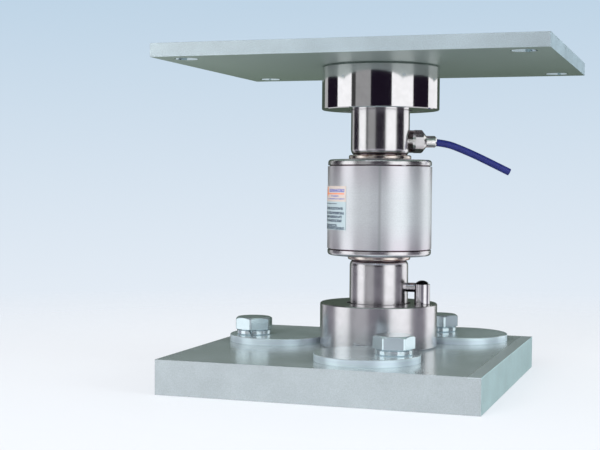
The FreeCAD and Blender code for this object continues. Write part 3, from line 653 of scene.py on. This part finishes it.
class LOADCELL_OT_camera(bpy.types.Operator):
    """Set the camera where the photograph was taken from"""

    bl_idname = "loadcell.camera"
    bl_label = "Place the camera"

    def execute(self, context):
        studio = context.scene.load_cell_studio
        turn, pitch, roll = studio.camera_turn, studio.camera_pitch, studio.camera_roll
        ahead = Vector((-math.sin(turn) * math.cos(pitch), math.cos(turn) * math.cos(pitch),
                        math.sin(pitch)))
        level = Vector((math.cos(turn), math.sin(turn), 0.0))
        raised = level.cross(ahead)
        right = level * math.cos(roll) + raised * math.sin(roll)
        above = raised * math.cos(roll) - level * math.sin(roll)
        data = bpy.data.cameras.new("photograph")
        data.sensor_width = 36.0
        data.sensor_fit = "HORIZONTAL"
        data.lens = studio.focal_pixels * data.sensor_width / IMAGE_WIDTH
        data.clip_start = 0.01
        camera = bpy.data.objects.new("photograph", data)
        camera.matrix_world = (Matrix.Translation(studio.camera_place)
                               @ Matrix((right, above, -ahead)).transposed().to_4x4())
        context.scene.collection.objects.link(camera)
        context.scene.camera = camera
        return {"FINISHED"}


class LOADCELL_OT_cable(bpy.types.Operator):
    """Make the cable end that droops from the gland"""

    bl_idname = "loadcell.cable"
    bl_label = "Make the cable"

    def execute(self, context):
        looks = context.scene.load_cell_looks
        curve = bpy.data.curves.new("cable_end", "CURVE")
        curve.dimensions = "3D"
        curve.bevel_depth = 1.0
        curve.bevel_resolution = 10
        curve.resolution_u = 24
        curve.use_fill_caps = True
        line = curve.splines.new("NURBS")
        line.points.add(len(CABLE_ROUTE) - 1)
        for point, (distance, level) in zip(line.points, CABLE_ROUTE):
            point.co = (*polar_point(distance, level), 1.0)
            point.radius = CABLE_RADIUS
        line.order_u = 3
        line.use_endpoint_u = True
        cable = bpy.data.objects.new("cable_end", curve)
        context.scene.collection.objects.link(cable)
        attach(cable, "root")
        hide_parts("cable")
        sheath = plain_moulded("cable_sheath", tuple(looks.sheath), 0.32, 1500.0)
        sheath.shader.inputs["Specular IOR Level"].default_value = 0.35
        sheath.onto("cable_end")
        return {"FINISHED"}


class LOADCELL_OT_plates(bpy.types.Operator):
    """Finish the base plate and the top plate"""

    bl_idname = "loadcell.plates"
    bl_label = "Finish the plates"

    def execute(self, context):
        looks = context.scene.load_cell_looks
        base_zinc("zinc_base", tuple(looks.plate), 8.0 * MM).onto("base_plate")
        top_zinc("zinc_top", tuple(looks.top_plate), tuple(looks.underside_shade_front),
                 tuple(looks.underside)).onto("top_plate")
        return {"FINISHED"}


class LOADCELL_OT_column(bpy.types.Operator):
    """Finish the column, the cups and the rotation stop"""

    bl_idname = "loadcell.column"
    bl_label = "Finish the column and cups"

    def execute(self, context):
        looks = context.scene.load_cell_looks
        steel = tuple(looks.steel)
        polished_steel("mirror_steel", steel, 0.07, 0.003 * MM).onto("upper_cup")
        shaded_post("post_steel", steel, tuple(looks.shadow)).onto("rotation_stop_post")
        shaded_arm("arm_steel", steel, tuple(looks.shadow)).onto("rotation_stop_arm")
        welded_column("column_steel", steel, tuple(looks.stain)).onto("column")
        polished_steel("satin_steel", steel, 0.25, 0.008 * MM).onto("lower_cup")
        polished_steel("screw_steel", steel, 0.12, 0.004 * MM).onto(*numbered("cup_screw"))
        bright_zinc("black_oxide", tuple(looks.black), 1.0, 0.3, 0.2 * MM).onto(
            "rotation_stop_screw")
        plain_moulded("seal_rubber", tuple(looks.rubber), 0.55, 2200.0).onto(
            "lower_recess_seal", "upper_recess_seal", "gland_packing")
        return {"FINISHED"}


class LOADCELL_OT_housing(bpy.types.Operator):
    """Finish the housing, its welds, its label and what is inside"""

    bl_idname = "loadcell.housing"
    bl_label = "Finish the housing"

    def weld_spot(self, context):
        """Small blob of weld metal that bridges the groove above the tube."""
        deselect()
        bpy.ops.mesh.primitive_uv_sphere_add(segments=32, ring_count=16, radius=1.0)
        spot = context.object
        spot.name = "weld_spot"
        bpy.ops.transform.resize(value=SPOT_HALVES)
        bpy.ops.transform.rotate(value=-SPOT_ANGLE, orient_axis="Z",
                                 center_override=(0.0, 0.0, 0.0))
        reach = TUBE_RADIUS - SPOT_INSET
        bpy.ops.transform.translate(value=(
            math.cos(SPOT_ANGLE) * reach, math.sin(SPOT_ANGLE) * reach, TUBE_TOP + SPOT_RISE))
        bpy.ops.object.transform_apply(location=True, rotation=True, scale=True)
        bpy.ops.object.shade_smooth()
        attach(spot, "root")

    def execute(self, context):
        looks = context.scene.load_cell_looks
        brushed_can("brushed_can", tuple(looks.can), 0.42).onto("housing_tube")
        grooved_cap("cap_steel", tuple(looks.steel), tuple(looks.stain)).onto(
            "housing_upper_cap", "housing_lower_cap")
        self.weld_spot(context)
        weld_metal("weld_metal", tuple(looks.copper), tuple(looks.straw)).onto(
            "upper_weld_bead", "lower_weld_bead")
        polished_steel("weld_spot_steel", tuple(looks.steel), 0.3, 0.02 * MM).onto("weld_spot")
        label_bands("label_film", looks).onto("label_plate")
        plain_moulded("gauge_foil", tuple(looks.foil), 0.4, 3000.0).onto(
            *numbered("strain_gauge", 4))
        plain_moulded("board_laminate", tuple(looks.board), 0.45, 3000.0).onto("terminal_board")
        plain_moulded("lead_insulation", tuple(looks.leads), 0.45, 2400.0).onto("lead_bundle")
        return {"FINISHED"}


class LOADCELL_OT_gland(bpy.types.Operator):
    """Finish the cable gland"""

    bl_idname = "loadcell.gland"
    bl_label = "Finish the gland"

    def execute(self, context):
        looks = context.scene.load_cell_looks
        # Painted shade for the gland's flange.
        dark = tuple(looks.flange)
        gland_nickel("gland_nickel", "gland_body", tuple(looks.nickel), dark, 0.2).onto(
            "gland_body")
        gland_nickel("sleeve_nickel", "gland_sleeve", shade(looks.nickel, 1.25), dark, 0.14).onto(
            "gland_sleeve")
        return {"FINISHED"}


class LOADCELL_OT_clamps(bpy.types.Operator):
    """Finish the discs, washers and bolts on the base plate"""

    bl_idname = "loadcell.clamps"
    bl_label = "Finish the clamps"

    def execute(self, context):
        zinc = tuple(context.scene.load_cell_looks.zinc)
        turned_zinc("zinc_disc", shade(zinc, 1.1)).onto(*numbered("eccentric_disc"))
        bright_zinc("zinc_fastener", zinc, 0.74, 0.13, 0.3 * MM).onto(*numbered("hex_bolt"))
        bright_zinc("zinc_washer", shifted(zinc, WASHER_SHIFT), 0.85, 0.13, 0.2 * MM).onto(
            *numbered("lock_washer"))
        return {"FINISHED"}


class LOADCELL_OT_stage(bpy.types.Operator):
    """Lay the floor and light the object as in the photographer's studio"""

    bl_idname = "loadcell.stage"
    bl_label = "Set the stage"

    # Azimuth of each card from the camera's side, in degrees, with its brightness: white and
    # grey cards, and without a brightness the dark gaps, as polished steel shows them.
    CARDS = (
        (-140.0, -125.0, 0.55), (-125.0, -91.5, None), (-91.5, -58.0, 1.3),
        (-58.0, -49.0, 0.06), (-49.0, -19.0, 0.38), (-19.0, 21.0, None),
        (21.0, 65.0, 1.3), (65.0, 105.0, None), (105.0, 143.0, 1.2))
    SURROUND_START = 143.0
    SURROUND_END = 220.0
    CARD_FOOT = -0.9
    CARD_TOP = 1.5
    CARD_STEPS = 12

    # Share of a card's own light that its foot keeps, and heights between which the foot ends.
    FOOT_SHARE = 0.75
    FOOT_FADE = (-0.16, 0.05)

    # Distances from the middle between which the floor fades out, its radius, and its drop, which
    # keeps it clear of the base plate's underside.
    FLOOR_FADE = (0.22, 0.75)
    FLOOR_RADIUS = 3.0
    FLOOR_DROP = 0.0002

    # Distance, height and size of the softbox.
    SOFTBOX_AWAY = 1.7
    SOFTBOX_HEIGHT = 2.0
    SOFTBOX_SIZE = (2.6, 0.75)

    # Heights of a direction between which the world turns into the sky, the room and the table.
    SKY_RISE = (-0.20, 0.14)
    ROOM_RISE = (0.35, 0.55)
    TABLE_RISE = (-0.35, -0.50)

    # Name, place, size, power and colour of each lamp.
    LAMPS = (
        ("key_light", (-0.3, -1.8, 0.8), (1.2, 0.8), 29.0, (1.0, 1.0, 1.0)),
        ("fill_light", (1.9, -0.5, 0.5), (1.0, 0.8), 21.0, (0.86, 1.0, 1.0)))

    def card(self, context, number, start, end, colour, foot):
        """Curved upright card between two azimuths, with its own light below the table."""
        studio = context.scene.load_cell_studio
        heading = math.atan2(studio.camera_place[1], studio.camera_place[0])
        away = studio.card_distance
        rows = []
        for step in range(self.CARD_STEPS + 1):
            turn = heading + math.radians(start + (end - start) * step / self.CARD_STEPS)
            for level in (self.CARD_FOOT, self.CARD_TOP):
                rows.append((math.cos(turn) * away, math.sin(turn) * away, level))
        faces = [(2 * step, 2 * step + 2, 2 * step + 3, 2 * step + 1)
                 for step in range(self.CARD_STEPS)]
        mesh = bpy.data.meshes.new("card_%d" % number)
        mesh.from_pydata(rows, [], faces)
        card = bpy.data.objects.new("card_%d" % number, mesh)
        context.scene.collection.objects.link(card)
        self.glow(mesh, "card_%d" % number, colour, foot)
        self.reflected(card)

    def glow(self, mesh, name, colour, foot):
        """Plain light of one colour, and of another below the table's level."""
        finish = Finish(name, (0.0, 0.0, 0.0), 0.0, 1.0)
        finish.tree.nodes.remove(finish.shader)
        light = finish.node("ShaderNodeEmission")
        rise = finish.remap(finish.axes()[2], 0.0, 1.0, *self.FOOT_FADE)
        finish.join(finish.tint(rise, foot, colour), light.inputs["Color"])
        finish.join(light.outputs[0], finish.tree.nodes["Material Output"].inputs["Surface"])
        mesh.materials.append(finish.material)

    def floor(self, context):
        """Round pale floor that fades into the backdrop."""
        studio = context.scene.load_cell_studio
        deselect()
        bpy.ops.mesh.primitive_circle_add(vertices=96, radius=self.FLOOR_RADIUS,
                                          fill_type="NGON", location=(0.0, 0.0, -self.FLOOR_DROP))
        floor = context.object
        floor.name = "floor"
        finish = Finish("pale_floor", shade(studio.haze, 0.4), 0.0, 0.7)
        finish.shader.inputs["Emission Color"].default_value = linked(studio.haze)
        finish.shader.inputs["Emission Strength"].default_value = studio.floor_glow
        finish.onto("floor")
        away = finish.node("ShaderNodeVectorMath", operation="LENGTH")
        finish.join(finish.place, away.inputs[0])
        fade = finish.remap(away.outputs["Value"], 1.0, 0.0, *self.FLOOR_FADE)
        finish.join(fade, finish.shader.inputs["Alpha"])
        floor.visible_glossy = False

    def blend(self, tree, share, first, second):
        """World colour between two, the second a plain colour or another node's output."""
        mix = tree.nodes.new("ShaderNodeMix")
        mix.data_type = "RGBA"
        tree.links.new(share, mix.inputs[0])
        tree.links.new(first, mix.inputs[6])
        if isinstance(second, bpy.types.NodeSocket):
            tree.links.new(second, mix.inputs[7])
        else:
            mix.inputs[7].default_value = linked(second)
        return mix.outputs[2]

    def turned(self, tree, rise, between, colour, tone):
        """World colour that turns into another between two heights of the direction."""
        share = tree.nodes.new("ShaderNodeMapRange")
        share.inputs["From Min"].default_value, share.inputs["From Max"].default_value = between
        tree.links.new(rise, share.inputs["Value"])
        return self.blend(tree, share.outputs["Result"], colour, tone)

    def softbox(self, context):
        """Wide box above the camera, seen in reflections alone."""
        studio = context.scene.load_cell_studio
        across = Vector(studio.camera_place[:2]).normalized() * self.SOFTBOX_AWAY
        place = Vector((across.x, across.y, self.SOFTBOX_HEIGHT))
        deselect()
        bpy.ops.mesh.primitive_plane_add(size=1.0)
        box = context.object
        box.name = "softbox"
        box.scale = (*self.SOFTBOX_SIZE, 1.0)
        box.location = place
        box.rotation_euler = (middle("housing_tube") - place).to_track_quat("-Z", "Y").to_euler()
        self.glow(box.data, "softbox", studio.softbox, studio.softbox)
        self.reflected(box)

    def reflected(self, item):
        """Show a stage object in reflections alone."""
        item.visible_camera = False
        item.visible_diffuse = False
        item.visible_shadow = False
        item.visible_transmission = False

    def world(self, context):
        """Pale backdrop in sight and in reflections, and a soft plain light for the rest."""
        studio = context.scene.load_cell_studio
        world = bpy.data.worlds.new("studio")
        context.scene.world = world
        world.use_nodes = True
        world.cycles.sampling_method = "NONE"
        tree = world.node_tree
        back = tree.nodes["Background"]
        place = tree.nodes.new("ShaderNodeTexCoord")
        split = tree.nodes.new("ShaderNodeSeparateXYZ")
        tree.links.new(place.outputs["Generated"], split.inputs[0])
        haze = tree.nodes.new("ShaderNodeRGB")
        haze.outputs[0].default_value = linked(studio.haze)
        rise = split.outputs["Z"]
        backdrop = self.turned(tree, rise, self.SKY_RISE, haze.outputs[0], studio.sky)
        around = self.turned(tree, rise, self.ROOM_RISE, backdrop, studio.room)
        around = self.turned(tree, rise, self.TABLE_RISE, around, studio.table)
        path = tree.nodes.new("ShaderNodeLightPath")
        shown = self.blend(tree, path.outputs["Is Camera Ray"], around, backdrop)
        shown = self.blend(tree, path.outputs["Is Diffuse Ray"], shown, (studio.ambient,) * 3)
        tree.links.new(shown, back.inputs["Color"])

    def lamp(self, context, name, place, size, power, colour):
        """Soft lamp that faces the housing and shows in no reflection."""
        data = bpy.data.lights.new(name, "AREA")
        data.shape = "RECTANGLE"
        data.size, data.size_y = size
        data.energy = power
        data.color = colour
        lamp = bpy.data.objects.new(name, data)
        lamp.location = place
        aim = middle("housing_tube") - Vector(place)
        lamp.rotation_euler = aim.to_track_quat("-Z", "Y").to_euler()
        lamp.visible_glossy = False
        context.scene.collection.objects.link(lamp)

    def execute(self, context):
        studio = context.scene.load_cell_studio
        for number, (start, end, brightness) in enumerate(self.CARDS, 1):
            colour = studio.card_dark
            if brightness is not None:
                colour = shade(studio.card_light, brightness)
            foot = [part * self.FOOT_SHARE + least
                    for part, least in zip(colour, studio.card_foot)]
            self.card(context, number, start, end, colour, foot)
        self.card(context, len(self.CARDS) + 1, self.SURROUND_START, self.SURROUND_END,
                  studio.surround, studio.surround)
        self.softbox(context)
        self.floor(context)
        self.world(context)
        for lamp in self.LAMPS:
            self.lamp(context, *lamp)
        return {"FINISHED"}


class LOADCELL_PT_panel(bpy.types.Panel):
    """Sidebar panel with the load cell's settings and steps"""

    bl_label = "Load Cell"
    bl_idname = "LOADCELL_PT_panel"
    bl_space_type = "VIEW_3D"
    bl_region_type = "UI"
    bl_category = "Load Cell"

    def draw(self, context):
        for group in (context.scene.load_cell_looks, context.scene.load_cell_studio):
            for name in group.bl_rna.properties.keys():
                if name not in ("rna_type", "name"):
                    self.layout.prop(group, name)
        for step in STEPS:
            self.layout.operator(step.bl_idname)


STEPS = (LOADCELL_OT_camera, LOADCELL_OT_cable, LOADCELL_OT_plates, LOADCELL_OT_column,
         LOADCELL_OT_housing, LOADCELL_OT_gland, LOADCELL_OT_clamps, LOADCELL_OT_stage)
CLASSES = (LoadCellLooks, LoadCellStudio, *STEPS, LOADCELL_PT_panel)


def register():
    for item in CLASSES:
        bpy.utils.register_class(item)
    bpy.types.Scene.load_cell_looks = bpy.props.PointerProperty(type=LoadCellLooks)
    bpy.types.Scene.load_cell_studio = bpy.props.PointerProperty(type=LoadCellStudio)


def unregister():
    del bpy.types.Scene.load_cell_studio
    del bpy.types.Scene.load_cell_looks
    for item in reversed(CLASSES):
        bpy.utils.unregister_class(item)


def main():
    """Run every step in order."""
    register()
    bpy.context.scene.view_settings.view_transform = "Standard"
    for step in STEPS:
        group, name = step.bl_idname.split(".")
        getattr(getattr(bpy.ops, group), name)()


if __name__ == "__main__":
    main()
